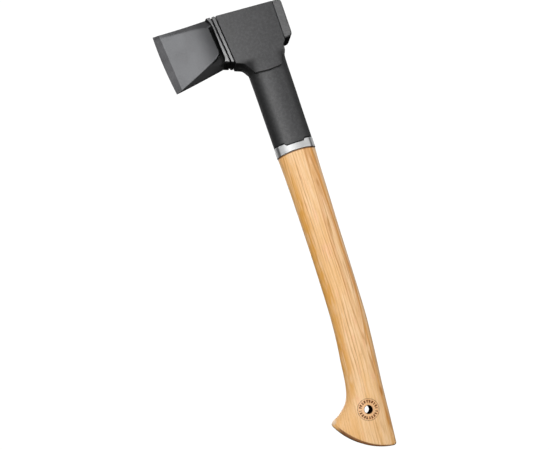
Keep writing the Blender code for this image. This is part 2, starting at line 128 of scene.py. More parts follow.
GRIP_STATIONS = (
    (-20.9, 20.9, SHOULDER_Z, 15.2),
    (-20.2, 19.9, -30.0, 15.0),
    (-19.9, 19.2, -54.0, 14.6),
    (-19.9, 18.4, -78.0, 14.2),
    (-20.0, 17.6, -102.0, 13.9),
    (-20.3, 17.0, -126.0, 13.7),
    (-20.8, 16.3, -150.0, 13.6),
    (-21.4, 15.6, -174.0, 13.5),
    (-22.6, 14.6, -198.0, 13.4),
    (-24.7, 12.7, -220.0, 13.2),
)
BUTT_STATIONS = (
    ((-26.8, -236.0), (10.9, -238.0), 13.1, 0.2),
    ((-28.3, -250.0), (9.1, -254.0), 13.0, 0.6),
    ((-30.0, -261.0), (7.4, -269.0), 12.9, 1.2),
    ((-32.5, -270.5), (6.3, -281.0), 12.8, 2.0),
    ((-36.7, -278.3), (5.3, -292.0), 12.8, 3.2),
    ((-42.6, -284.0), (4.4, -303.0), 12.8, 4.6),
    ((-48.3, -288.2), (3.3, -315.0), 12.7, 6.0),
    ((-53.6, -290.6), (2.3, -325.5), 12.6, 7.2),
    ((-56.0, -292.4), (1.5, -333.2), 12.4, 8.0),
)
NECK_LEVELS = (
    (-KEY_DEPTH, -21.0, 21.1, 15.7),
    (6.0, -21.1, 21.2, 15.8),
    (30.0, -21.3, 21.3, 15.8),
    (56.0, -21.5, 21.6, 15.8),
    (74.0, -21.8, 21.7, 15.8),
    (81.0, -22.0, 21.7, 15.8),
    (85.5, -22.3, 21.8, 15.8),
    (89.0, -23.4, 21.9, 15.8),
    (92.0, -25.3, 22.1, 15.8),
    (94.8, -28.1, 22.6, 15.8),
    (97.0, -31.2, 23.7, 15.8),
    (99.6, -31.1, 24.6, 15.8),
    (104.0, -30.8, 25.0, 15.8),
)

pieces = bpy.data.collections.new("pieces")
cutters = bpy.data.collections.new("shapers")
bpy.context.scene.collection.children.link(pieces)
bpy.context.scene.collection.children.link(cutters)


# ------------------------------------------------------------------ mesh helpers
def to_object(name, bm, collection=pieces):
    """A mesh object, from millimetres about the datum to metres in the frame."""
    for v in bm.verts:
        v.co = Vector((v.co.x * MM, v.co.y * MM, (v.co.z + DATUM) * MM))
    bmesh.ops.recalc_face_normals(bm, faces=bm.faces)
    mesh = bpy.data.meshes.new(name)
    bm.to_mesh(mesh)
    bm.free()
    obj = bpy.data.objects.new(name, mesh)
    collection.objects.link(obj)
    return obj


def superellipse(half_x, half_y, power, count):
    points = []
    for i in range(count):
        c = math.cos(2 * math.pi * i / count)
        s = math.sin(2 * math.pi * i / count)
        x = half_x * math.copysign(abs(c) ** (2 / power), c) if abs(c) > 1e-9 else 0.0
        y = half_y * math.copysign(abs(s) ** (2 / power), s) if abs(s) > 1e-9 else 0.0
        points.append((x, y))
    return points


def loft(rings, cap_start=True, cap_end=True):
    bm = bmesh.new()
    rows = [[bm.verts.new(p) for p in ring] for ring in rings]
    count = len(rows[0])
    for a, b in zip(rows, rows[1:]):
        for i in range(count):
            j = (i + 1) % count
            bm.faces.new((a[i], a[j], b[j], b[i]))
    if cap_start:
        bm.faces.new(rows[0][::-1])
    if cap_end:
        bm.faces.new(rows[-1])
    bm.verts.ensure_lookup_table()
    return bm


def level_ring(front, back, z, half_y, power, count):
    cx, hx = (front + back) / 2, (back - front) / 2
    return [(cx + x, y, z) for x, y in superellipse(hx, half_y, power, count)]


def catmull(rows, steps):
    """Smooth rows of numbers: a Catmull-Rom spline through them, steps per span."""
    out = []
    n = len(rows)
    for i in range(n - 1):
        p0, p1, p2, p3 = rows[max(i - 1, 0)], rows[i], rows[i + 1], rows[min(i + 2, n - 1)]
        for k in range(steps):
            t = k / steps
            out.append([0.5 * (2 * b + (c - a) * t + (2 * a - 5 * b + 4 * c - d) * t * t
                               + (3 * b - a - 3 * c + d) * t ** 3)
                        for a, b, c, d in zip(p0, p1, p2, p3)])
    out.append(list(rows[-1]))
    return out


def rounded_outline(corners, segment=10):
    points = []
    n = len(corners)
    for i, (x, z, radius) in enumerate(corners):
        here = Vector((x, z))
        before = Vector(corners[i - 1][:2]) - here
        after = Vector(corners[(i + 1) % n][:2]) - here
        if radius <= 0:
            points.append(here)
            continue
        u, v = before.normalized(), after.normalized()
        angle = u.angle(v)
        reach = radius / math.tan(angle / 2)
        centre = here + (u + v).normalized() * (radius / math.sin(angle / 2))
        start = here + u * reach - centre
        turn = start.angle_signed(here + v * reach - centre)
        for k in range(segment + 1):
            a = -turn * k / segment
            points.append(centre + Vector((
                start.x * math.cos(a) - start.y * math.sin(a),
                start.x * math.sin(a) + start.y * math.cos(a))))
    return points


def grown(points, d):
    """The outline moved outwards by d."""
    area = sum(a.x * b.y - b.x * a.y for a, b in zip(points, points[1:] + points[:1]))
    side = -1.0 if area > 0 else 1.0
    out = []
    n = len(points)
    for i, p in enumerate(points):
        e1 = (p - points[i - 1]).normalized()
        e2 = (points[(i + 1) % n] - p).normalized()
        n1, n2 = Vector((-e1.y, e1.x)), Vector((-e2.y, e2.x))
        m = (n1 + n2).normalized()
        out.append(p + m * (side * d / max(0.5, m.dot(n1))))
    return out


def outline_plate(name, points, half_y, arris, collection):
    """A flat plate standing in the XZ plane: a filled 2D curve with rounded edges."""
    curve = bpy.data.curves.new(name, "CURVE")
    curve.dimensions = "2D"
    curve.fill_mode = "BOTH"
    curve.extrude = (half_y - arris) * MM
    curve.bevel_depth = arris * MM
    curve.bevel_resolution = 3
    curve.offset = -arris * MM
    spline = curve.splines.new("POLY")
    spline.points.add(len(points) - 1)
    for p, co in zip(spline.points, points):
        p.co = (co[0] * MM, (co[1] + DATUM) * MM, 0.0, 1.0)
    spline.use_cyclic_u = True
    temp = bpy.data.objects.new(name + "_curve", curve)
    temp.rotation_euler = (math.pi / 2, 0, 0)
    collection.objects.link(temp)
    bpy.context.view_layer.update()
    depsgraph = bpy.context.evaluated_depsgraph_get()
    mesh = bpy.data.meshes.new_from_object(temp.evaluated_get(depsgraph))
    mesh.transform(temp.matrix_world)
    bm = bmesh.new()
    bm.from_mesh(mesh)
    bmesh.ops.remove_doubles(bm, verts=bm.verts, dist=1e-6)
    bmesh.ops.recalc_face_normals(bm, faces=bm.faces)
    bm.to_mesh(mesh)
    bm.free()
    obj = bpy.data.objects.new(name, mesh)
    collection.objects.link(obj)
    bpy.data.objects.remove(temp, do_unlink=True)
    bpy.data.curves.remove(curve)
    return obj


def boolean(target, tool, operation):
    mod = target.modifiers.new(operation.lower(), "BOOLEAN")
    mod.operation = operation
    mod.solver = "EXACT"
    mod.object = tool


def bake(obj):
    bpy.context.view_layer.update()
    depsgraph = bpy.context.evaluated_depsgraph_get()
    mesh = bpy.data.meshes.new_from_object(obj.evaluated_get(depsgraph))
    obj.modifiers.clear()
    obj.data = mesh


def tidy(obj, angle, dist=2e-6):
    bm = bmesh.new()
    bm.from_mesh(obj.data)
    bmesh.ops.remove_doubles(bm, verts=bm.verts, dist=dist)
    bmesh.ops.dissolve_degenerate(bm, edges=bm.edges, dist=dist)
    bm.to_mesh(obj.data)
    bm.free()
    obj.data.shade_smooth()
    obj.data.set_sharp_from_angle(angle=math.radians(angle))


def cross_bar(name, x, z, profile, segments):
    """A turned bar along Y from (y, radius) pairs."""
    rings = []
    for y, radius in profile:
        rings.append([(x + radius * math.cos(2 * math.pi * k / segments), y,
                       z + radius * math.sin(2 * math.pi * k / segments))
                      for k in range(segments)])
    return to_object(name, loft(rings), cutters)


def profile_prism(name, points, y0, y1):
    bm = loft([[(p[0], y0, p[1]) for p in points], [(p[0], y1, p[1]) for p in points]])
    return to_object(name, bm, cutters)


# ------------------------------------------------------------------ steel head
def top_line(x):
    t = (x - EDGE_TOP[0]) / (TOP_REAR_X - EDGE_TOP[0])
    return EDGE_TOP[1] + t * (TOP_REAR_Z - EDGE_TOP[1])


def beard_line(x):
    t = (x - EDGE_BOTTOM[0]) / (-44.0 - EDGE_BOTTOM[0])
    return EDGE_BOTTOM[1] + 11.7 * t - 0.3 * math.sin(math.pi * min(1, max(0, t)))


def belly_line(x):
    return 101.8 - 0.33 * (x + 44.0)


def raked(x_mid, rake, z):
    return x_mid - rake * (z - MID_Z)


def soft_min(a, b, k):
    h = np.maximum(k - np.abs(a - b), 0.0) / k
    return np.minimum(a, b) - h * h * k * 0.25


def soft_max(a, b, k):
    return -soft_min(-a, -b, k)


def row_spread(height):
    """Distances from the top of a section: close together at both long edges."""
    near = [0.0, 0.03, 0.09, 0.18, 0.3, 0.45, 0.62, 0.82, 1.05, 1.35, 1.75, 2.3]
    middle = 92
    span = height - 2 * near[-1]
    inner = [near[-1] + span * k / (middle + 1) for k in range(1, middle + 1)]
    return np.array(near + inner + [height - d for d in reversed(near)])


def edge_round(d, radius):
    """How far a side falls in at distance d from a long edge of that radius."""
    d = np.clip(d, 0.0, radius)
    return radius - np.sqrt(np.maximum(radius ** 2 - (radius - d) ** 2, 0.0))


def head_side(xr):
    """One side of the head's section at raked station xr, from the edge to the strip."""
    x_top = raked(xr, RAKE, top_line(xr))
    x_low = raked(xr, RAKE, beard_line(xr) if xr < -46.5 else 99.5)
    top = top_line(x_top)
    beard = beard_line(x_low)
    belly = belly_line(raked(xr, RAKE, 98.5))
    w = min(1.0, max(0.0, (xr + 46.6) / 3.2))
    w = w * w * (3 - 2 * w)
    low = beard + w * (belly - beard)
    z = top - row_spread(top - low)
    t = (top - z) / (top - low)

    # blade
    u = max(0.0, (xr + 97.4) / 51.9)
    if xr < -97.4:
        s = (xr + 104.4) / BEVEL_WIDTH
        cheek = np.full_like(z, EDGE_HALF + (BEVEL_HALF - EDGE_HALF) * s)
    else:
        full = BEVEL_HALF + (CHEEK_HALF - BEVEL_HALF) * (0.52 * u + 0.48 * u ** 3)
        cheek = full - 0.5 * min(u, 1.0) * (2 * t - 1) ** 2
    uc = min(u, 1.0)
    rear = -46.8 - 1.0 * np.maximum(0.0, (z - 140.0) / 6.0) ** 2 \
        - 4.0 * np.maximum(0.0, (116.0 - z) / 6.0) ** 2
    fade = np.clip((z - 138.5) / 7.0, 0.0, 1.0)
    floor = CHANNEL_HALF + (CHEEK_HALF - CHANNEL_HALF) * fade * fade * (3 - 2 * fade)
    wall = soft_max(CHEEK_HALF + 0.3 - 8.0 * (xr - rear), floor, 0.8)
    body = soft_min(cheek, wall, 1.0)
    # top chamfer, lower facet and the rounding under it
    drop = 4.0 + 2.2 * uc + 3.6 * uc ** 6
    chamfer = cheek - (0.14 + 0.27 * uc ** 0.6) * (z - (top - drop))
    rise = 1.2 + 12.2 * uc + 3.0 * max(0.0, (uc - 0.85) / 0.15) ** 2
    fall = 0.25 + 0.33 * uc
    z_crease = beard + rise
    facet = cheek - fall * (z_crease - z)
    turn_h = min(3.4, 0.5 + 14.0 * uc, rise * 0.8)
    y_turn = (BEVEL_HALF + (CHEEK_HALF - BEVEL_HALF) * (0.52 * uc + 0.48 * uc ** 3)) \
        - fall * (rise - turn_h)
    y_turn = max(y_turn, 0.6)
    under = y_turn - 0.5 * y_turn * (beard + turn_h - z) / turn_h
    k = 0.15 + 0.5 * uc
    blade = soft_min(body, chamfer, k)
    blade = soft_min(blade, facet, k)
    blade = soft_min(blade, under, k)
    if u <= 0.0:
        blade = np.minimum(cheek, np.maximum(blade, 0.12))
    blade = np.maximum(blade, 0.12)

    # shoulder, whose front edge curls forwards at both ends
    start = -43.2 + 0.6 * np.clip((z - 115.0) / 20.0, 0.0, 1.0) \
        - 2.8 * np.maximum(0.0, (z - 143.0) / 9.2) ** 1.5 - 3.0 * np.maximum(0.0, (107.5 - z) / 5.9) ** 2
    steep = 9.0 - 6.5 * np.clip((109.0 - z) / 7.0, 0.0, 1.0)
    b_low = np.maximum(belly_line(raked(xr, RAKE, 99.0)), low)
    block = HEAD_HALF - edge_round(top - z, 0.9) - edge_round(z - b_low, 2.0) \
        - 5.0 * np.maximum(0.0, b_low - z)
    front = HEAD_HALF + steep * (xr - start)
    shoulder = soft_min(block, front, 0.8)
    y = soft_max(blade, shoulder, 0.6) if xr > -52.0 else blade
    y = np.minimum(y, np.maximum(block, blade))
    x = raked(xr, RAKE, z)
    if xr <= -97.4:
        s = 1.0 - max(0.0, (xr + 104.4) / BEVEL_WIDTH)
        ends = 4 * t * (1 - t)
        x = x - EDGE_BOW * s * ends
    # groove round the shoulder
    d = np.abs(x - raked(GROOVE_X, GROOVE_RAKE, z))
    depth = 1.9 * np.clip(1.0 - (d / 0.95) ** 1.3, 0.0, 1.0)
    y = y - np.where(xr > -42.5, depth, 0.0)
    if xr > -42.5:
        zc = (top + low) / 2
        squeeze_top = float(1.15 * max(0.0, 1 - (abs(x[0] - raked(GROOVE_X, GROOVE_RAKE, z[0])) / 0.95) ** 4))
        squeeze_low = float(1.15 * max(0.0, 1 - (abs(x[-1] - raked(GROOVE_X, GROOVE_RAKE, z[-1])) / 0.95) ** 4))
        half = (top - low) / 2
        z = np.where(z > zc, zc + (z - zc) * (half - squeeze_top) / half,
                     zc + (z - zc) * (half - squeeze_low) / half)
    # chamfer at the joint with the casing
    cut = max(0.0, 0.6 - (STRIP_FACE_X - xr))
    if cut > 0:
        zc = (top + low) / 2
        half = (top - low) / 2
        z = zc + (z - zc) * (half - cut) / half
        y = y - cut
    return list(zip(x.tolist(), y.tolist(), z.tolist()))


def block_side(x_mid, rake, half, top, low, arris, low_arris=None):
    low_arris = low_arris or arris
    z = top - row_spread(top - low)
    y = half - edge_round(top - z, arris) - edge_round(z - low, low_arris)
    return [(raked(x_mid, rake, zz), yy, zz) for zz, yy in zip(z.tolist(), y.tolist())]


def closed_ring(side):
    return [(x, -y, z) for x, y, z in side] + [(x, y, z) for x, y, z in reversed(side)]


def build_head():
    stations = [-104.4 + 0.35 * k for k in range(20)]
    stations += [-97.4 + 0.85 * k for k in range(55)]
    stations += [-50.65 + 0.2 * k for k in range(1, 16)]
    stations += [-47.65 + 0.11 * k for k in range(1, 53)]
    stations += [-41.93 + 0.16 * k for k in range(1, 25)]
    stations += [-38.09 + 0.28 * k for k in range(1, 10)]
    stations += [STRIP_FACE_X - 0.6, STRIP_FACE_X - 0.4, STRIP_FACE_X - 0.2, STRIP_FACE_X]
    stations = sorted(s for s in stations if s <= STRIP_FACE_X)
    sides = [head_side(s) for s in stations]
    sides.append(block_side(STRIP_FACE_X, RAKE, WEB_HALF, WEB_TOP, WEB_BOTTOM, 1.5))
    sides.append(block_side(POLL_FRONT_X, 0.0, WEB_HALF, WEB_TOP, WEB_BOTTOM, 1.5))

    def poll(x, inset):
        t = (x - POLL_FRONT_X) / (POLL_BACK_X - POLL_FRONT_X)
        top = top_line(x)
        reach = 4.2
        if x > POLL_BACK_X - reach:
            s = x - (POLL_BACK_X - reach)
            top -= reach - math.sqrt(max(0.0, reach ** 2 - s ** 2) * 0.985 + 0.015 * reach ** 2)
        low = POLL_BOTTOM_FRONT + t * (POLL_BOTTOM_BACK - POLL_BOTTOM_FRONT)
        reach = 4.6
        if x > POLL_BACK_X - reach:
            s = x - (POLL_BACK_X - reach)
            low += reach - math.sqrt(max(0.0, reach ** 2 - s ** 2) * 0.985 + 0.015 * reach ** 2)
        return block_side(x, 0.0, HEAD_HALF - inset, top, low, 0.9 + 0.3 * inset,
                          2.4 + 0.3 * inset)
    for k in range(4):
        c = 0.45 * (1 - k / 3)
        side = poll(POLL_FRONT_X + 0.45 * k / 3, c)
        sides.append([(x, y, z - c if z > 130 else z + c) for x, y, z in side])
    for x in (26.6, 27.6, 28.6, 29.6, 30.0, 30.4, 30.8, 31.2, 31.6, 32.0, 32.4, 32.8):
        sides.append(poll(x, 0.0))
    r = 1.5
    for k in range(9):
        a = math.pi / 2 * k / 8
        sides.append(poll(POLL_BACK_X - r + r * math.sin(a), r * (1 - math.cos(a))))
    rings = [closed_ring(s) for s in sides]
    bm = loft(rings, cap_start=False)
    n = len(rings[0])
    half = n // 2
    for k in range(half - 1):
        bm.faces.new((bm.verts[k], bm.verts[n - 1 - k], bm.verts[n - 2 - k], bm.verts[k + 1]))
    head = to_object("axe_head_fine", bm)
    for x, z in WEB_WINDOWS:
        boolean(head, cross_bar("window", x, z, ((-30, WINDOW_RADIUS), (30, WINDOW_RADIUS)), 48),
                "DIFFERENCE")
    bake(head)
    tidy(head, 38, 1e-6)
    return head


# ------------------------------------------------------------------ casing and neck
def tapered_rings(z_low, z_high, low, high, centre, power, count, steps=2):
    rings = []
    for k in range(steps + 1):
        t = k / steps
        hx = low[0] + t * (high[0] - low[0])
        hy = low[1] + t * (high[1] - low[1])
        rings.append([(centre + x, y, z_low + t * (z_high - z_low))
                      for x, y in superellipse(hx, hy, power, count)])
    return rings


def key_profile(slack):
    w, s, d = KEY_HALF_WIDTH + slack, KEY_SLOPE, KEY_DEPTH + slack
    return [(-w, -d), (w, -d), (w + s, 0.0), (w + s + 3 * s, 3 * d),
            (-w - s - 3 * s, 3 * d), (-w - s, 0.0)]


def build_casing():
    count = 112
    top = 151.5
    x_top = raked(STRIP_END_X + GAP, RAKE, top)
    x_low = raked(STRIP_END_X + GAP, RAKE, 97.4)
    back = POLL_FRONT_X - GAP
    corners = [
        (x_top, top_line(x_top), 0.0),
        (x_low, 97.0, 0.0),
        (-24.6, 94.0, 7.0),
        (-16.2, 81.0, 1.0),
        (-1.0, 80.2, 30.0),
        (13.4, 81.6, 1.0),
        (15.6, 88.0, 8.0),
        (19.4, 98.2, 9.0),
        (back, 106.0, 4.0),
        (back, top_line(back), 0.0),
    ]
    outline = rounded_outline(corners)
    plate = outline_plate("neck_casing_fine", outline, HEAD_HALF, 0.6, pieces)
    rings = [level_ring(f, b, z, h, NECK_POWER, count)
             for z, f, b, h in catmull(NECK_LEVELS, 6)]
    neck = to_object("neck_form", loft(rings), cutters)
    # a fine line round the panel, sunk into the neck
    wide = grown(outline, 1.3)
    for side in (-1, 1):
        y0, y1 = sorted((side * 13.9, side * 26.0))
        boolean(neck, profile_prism("panel_line", wide, y0, y1), "DIFFERENCE")
    boolean(plate, neck, "UNION")
    rim_inner = (FERRULE_HALF_DEPTH - FERRULE_WALL - GAP, FERRULE_HALF_THICK - FERRULE_WALL - GAP)
    rim = to_object("rim_space", loft(tapered_rings(
        -6.0, GAP - RIM_DROP, (30, 24), (30, 24), 0, NECK_POWER, count, 1)), cutters)
    core = to_object("rim_core", loft(tapered_rings(
        -8.0, 6.0, rim_inner, rim_inner, 0, NECK_POWER, count, 1)), cutters)
    boolean(rim, core, "DIFFERENCE")
    boolean(rim, profile_prism("key_core", key_profile(-GAP), -40.0, 40.0), "DIFFERENCE")
    boolean(plate, rim, "DIFFERENCE")
    low = [v + 2 * GAP + BOND_THICK for v in TENON_BASE]
    high = [v + 2 * GAP + BOND_THICK for v in TENON_TIP]
    slope = [(h - l) / TENON_TOP for h, l in zip(high, low)]
    z0, z1 = -6.0, TENON_TOP + 2 * GAP + BOND_THICK
    socket = to_object("socket_space", loft(tapered_rings(
        z0, z1, [l + s * z0 for l, s in zip(low, slope)],
        [l + s * z1 for l, s in zip(low, slope)], 0, NECK_POWER, 64, 2)), cutters)
    boolean(plate, socket, "DIFFERENCE")
    tunnel = to_object("web_space", loft([closed_ring(s) for s in (
        block_side(STRIP_END_X - 4, RAKE, WEB_HALF + GAP, WEB_TOP + GAP, WEB_BOTTOM - GAP, 1.5),
        block_side(POLL_FRONT_X + 4, 0.0, WEB_HALF + GAP, WEB_TOP + GAP, WEB_BOTTOM - GAP, 1.5))]),
        cutters)
    for x, z in WEB_WINDOWS:
        r = WINDOW_RADIUS - GAP
        boolean(tunnel, cross_bar("stud", x, z, ((-34, r), (34, r)), 48), "DIFFERENCE")
    boolean(plate, tunnel, "DIFFERENCE")
    bake(plate)
    tidy(plate, 32)
    return plate


# ------------------------------------------------------------------ ferrule
def arch(x):
    return ARCH * max(0.0, 1.0 - (x / 20.9) ** 2)


def build_ferrule():
    count = 128
    outer = (FERRULE_HALF_DEPTH + 0.4, FERRULE_HALF_THICK + 0.3)
    foot = (FERRULE_HALF_DEPTH + 0.5, FERRULE_HALF_THICK + 0.4)
    inner = (FERRULE_HALF_DEPTH - FERRULE_WALL, FERRULE_HALF_THICK - FERRULE_WALL)

    def ring(size, z, inset=0.0):
        part = (-RIM_DROP - z) / (FERRULE_HEIGHT - RIM_DROP)
        return [(x, y, z + part * arch(x)) for x, y in superellipse(
            size[0] - inset, size[1] - inset, NECK_POWER, count)]
    r = 0.5
    rings = [ring(inner, -FERRULE_HEIGHT)]
    for k in range(5):
        a = math.pi / 2 * k / 4
        rings.append(ring(foot, -FERRULE_HEIGHT + r * (1 - math.sin(math.pi / 2 - a)),
                          r * (1 - math.sin(a))))
    for k in range(1, 8):
        t = k / 8
        size = (foot[0] + (outer[0] - foot[0]) * math.sin(t * math.pi / 2),
                foot[1] + (outer[1] - foot[1]) * math.sin(t * math.pi / 2))
        rings.append(ring(size, -FERRULE_HEIGHT + r + t * (FERRULE_HEIGHT - RIM_DROP - 2 * r)))
    for k in range(5):
        a = math.pi / 2 * k / 4
        rings.append(ring(outer, -RIM_DROP - r + r * math.sin(a), r * (1 - math.cos(a))))
    rings.append(ring(inner, -RIM_DROP))
    bm = bmesh.new()
    rows = [[bm.verts.new(p) for p in rr] for rr in rings]
    rows.append(rows[0])
    for a, b in zip(rows, rows[1:]):
        for i in range(count):
            j = (i + 1) % count
            bm.faces.new((a[i], a[j], b[j], b[i]))
    ferrule = to_object("ferrule_fine", bm)
    boolean(ferrule, profile_prism("key_space", key_profile(0.0), -40.0, 40.0), "DIFFERENCE")
    bake(ferrule)
    bevel = ferrule.modifiers.new("soften", "BEVEL")
    bevel.width = 0.0002
    bevel.segments = 2
    bevel.limit_method = "ANGLE"
    bevel.angle_limit = math.radians(40)
    bake(ferrule)
    tidy(ferrule, 40, 1e-7)
    return ferrule


# ------------------------------------------------------------------ handle
def bowed_ring(front, back, half_y, bow, power, count, inset=0.0, lower=0.0):
    f, b = Vector(front), Vector(back)
    across = (b - f).normalized()
    down = Vector((across.y, -across.x))
    if down.y > 0:
        down = -down
    half = (b - f).length / 2
    middle = (f + b) / 2
    ring = []
    for x, y in superellipse(1.0, 1.0, power, count):
        p = middle + across * (x * (half - inset)) + down * (bow * (1 - x * x) + lower)
        ring.append((p.x, y * (half_y - inset), p.y))
    return ring


def build_handle():
    count = 112
    rings = []
    chamfer = 1.6
    rings.append([(x, y, TENON_TOP) for x, y in superellipse(
        TENON_TIP[0] - chamfer, TENON_TIP[1] - chamfer, NECK_POWER, count)])
    rings.append([(x, y, TENON_TOP - chamfer) for x, y in superellipse(
        TENON_TIP[0], TENON_TIP[1], NECK_POWER, count)])
    stub_top = -KEY_DEPTH - GAP
    rings.append([(x, y, stub_top) for x, y in superellipse(
        TENON_BASE[0], TENON_BASE[1], NECK_POWER, count)])
    stub = (FERRULE_HALF_DEPTH - FERRULE_WALL - GAP, FERRULE_HALF_THICK - FERRULE_WALL - GAP)
    for z in (stub_top, SHOULDER_Z):
        rings.append([(x, y, z + (arch(x) if z == SHOULDER_Z else 0.0))
                      for x, y in superellipse(stub[0], stub[1], NECK_POWER, count)])
    front, back, z, half = GRIP_STATIONS[0]
    r = 0.7
    for k in range(5):
        a = math.pi / 2 * k / 4
        c = r * (1 - math.sin(a))
        rings.append([(x, y, h + arch(x)) for x, y, h in level_ring(
            front + c, back - c, z - r * (1 - math.cos(a)), half - c, NECK_POWER, count)])
    stations = [((f, z), (b, z), h, 0.0) for f, b, z, h in GRIP_STATIONS]
    stations += list(BUTT_STATIONS)
    flat = [[f[0], f[1], b[0], b[1], h, w] for f, b, h, w in stations]
    smooth = catmull(flat, 8)
    for fx, fz, bx, bz, h, w in smooth:
        if fz > SHOULDER_Z - 1.2:
            continue
        near = max(0.0, 1.0 - (SHOULDER_Z - fz) / 20.0) ** 2
        rings.append([(x, y, z + near * arch(x)) for x, y, z in bowed_ring(
            (fx, fz), (bx, bz), h, w, NECK_POWER, count)])
    front, back, half, bow = BUTT_STATIONS[-1]
    for k in range(1, 9):
        a = math.pi / 2 * k / 8
        rings.append(bowed_ring(front, back, half, bow, NECK_POWER, count,
                                inset=BUTT_INSET * (1 - math.cos(a)),
                                lower=BUTT_ROUND * math.sin(a)))
    bm = loft(rings, cap_end=False)
    base = len(bm.verts) - count
    last = [bm.verts[base + i] for i in range(count)]
    for i in range(count // 2):
        corners = []
        for v in (last[i], last[i + 1], last[(count - i - 1) % count], last[(count - i) % count]):
            if v not in corners:
                corners.append(v)
        bm.faces.new(corners)
    handle = to_object("handle_fine", bm)
    profile = [(-30, HOLE_RADIUS), (30, HOLE_RADIUS)]
    boolean(handle, cross_bar("hang_hole", HOLE_X, HOLE_Z, profile, 72), "DIFFERENCE")
    bake(handle)
    tidy(handle, 40)
    return handle


# ------------------------------------------------------------------ material helpers
class Shader:
    """A node material, with short calls for the nodes it is made of."""

    def __init__(self, name):
        self.mat = bpy.data.materials.new(name)
        self.mat.use_nodes = True
        self.tree = self.mat.node_tree
        self.bsdf = self.tree.nodes["Principled BSDF"]
        coords = self.tree.nodes.new("ShaderNodeTexCoord")
        scale = self.tree.nodes.new("ShaderNodeVectorMath")
        scale.operation = "MULTIPLY_ADD"
        self.tree.links.new(coords.outputs["Object"], scale.inputs[0])
        scale.inputs[1].default_value = (1000.0, 1000.0, 1000.0)
        scale.inputs[2].default_value = (0.0, 0.0, -DATUM)
        self.p = scale.outputs[0]          # millimetres from the datum
        sep = self.tree.nodes.new("ShaderNodeSeparateXYZ")
        self.tree.links.new(self.p, sep.inputs[0])
        self.x, self.y, self.z = sep.outputs

    def put(self, socket, value):
        if isinstance(value, bpy.types.NodeSocket):
            self.tree.links.new(value, socket)
        elif value is not None:
            socket.default_value = value

    def math(self, op, a, b=None, c=None, clamp=False):
        n = self.tree.nodes.new("ShaderNodeMath")
        n.operation = op
        n.use_clamp = clamp
        for s, v in zip(n.inputs, (a, b, c)):
            self.put(s, v)
        return n.outputs[0]

    def stretch(self, sx, sy, sz, shift=(0, 0, 0), of=None):
        n = self.tree.nodes.new("ShaderNodeVectorMath")
        n.operation = "MULTIPLY_ADD"
        self.put(n.inputs[0], of or self.p)
        n.inputs[1].default_value = (sx, sy, sz)
        n.inputs[2].default_value = shift
        return n.outputs[0]

    def noise(self, vector, scale=1.0, detail=2.0, rough=0.5, distortion=0.0):
        n = self.tree.nodes.new("ShaderNodeTexNoise")
        self.put(n.inputs["Vector"], vector)
        n.inputs["Scale"].default_value = scale
        n.inputs["Detail"].default_value = detail
        n.inputs["Roughness"].default_value = rough
        n.inputs["Distortion"].default_value = distortion
        return n.outputs["Fac"]

    def step(self, value, lo, hi, a=0.0, b=1.0):
        n = self.tree.nodes.new("ShaderNodeMapRange")
        n.interpolation_type = "SMOOTHSTEP"
        self.put(n.inputs["Value"], value)
        for key, v in (("From Min", lo), ("From Max", hi), ("To Min", a), ("To Max", b)):
            n.inputs[key].default_value = v
        return n.outputs["Result"]

    def ramp(self, fac, stops, mode="LINEAR"):
        n = self.tree.nodes.new("ShaderNodeValToRGB")
        n.color_ramp.interpolation = mode
        els = n.color_ramp.elements
        while len(els) > len(stops):
            els.remove(els[-1])
        while len(els) < len(stops):
            els.new(0.5)
        for e, (pos, col) in zip(els, stops):
            e.position = pos
            e.color = (*col, 1.0) if isinstance(col, tuple) else (col, col, col, 1.0)
        self.put(n.inputs["Fac"], fac)
        return n.outputs["Color"]

    def mix(self, fac, a, b, blend="MIX"):
        n = self.tree.nodes.new("ShaderNodeMix")
        n.data_type = "RGBA"
        n.blend_type = blend
        self.put(n.inputs[0], fac)
        for s, v in ((n.inputs[6], a), (n.inputs[7], b)):
            self.put(s, (*v, 1.0) if isinstance(v, tuple) else v)
        return n.outputs[2]

    def bump(self, height, strength, distance, normal=None):
        n = self.tree.nodes.new("ShaderNodeBump")
        n.inputs["Strength"].default_value = strength
        n.inputs["Distance"].default_value = distance
        self.put(n.inputs["Height"], height)
        if normal is not None:
            self.put(n.inputs["Normal"], normal)
        return n.outputs["Normal"]

    def set(self, **values):
        for key, v in values.items():
            name = {"base": "Base Color", "rough": "Roughness", "metal": "Metallic",
                    "normal": "Normal", "spec": "Specular IOR Level", "coat": "Coat Weight",
                    "coat_rough": "Coat Roughness", "sheen": "Sheen Weight",
                    "aniso": "Anisotropic"}[key]
            self.put(self.bsdf.inputs[name], (*v, 1.0) if isinstance(v, tuple) else v)


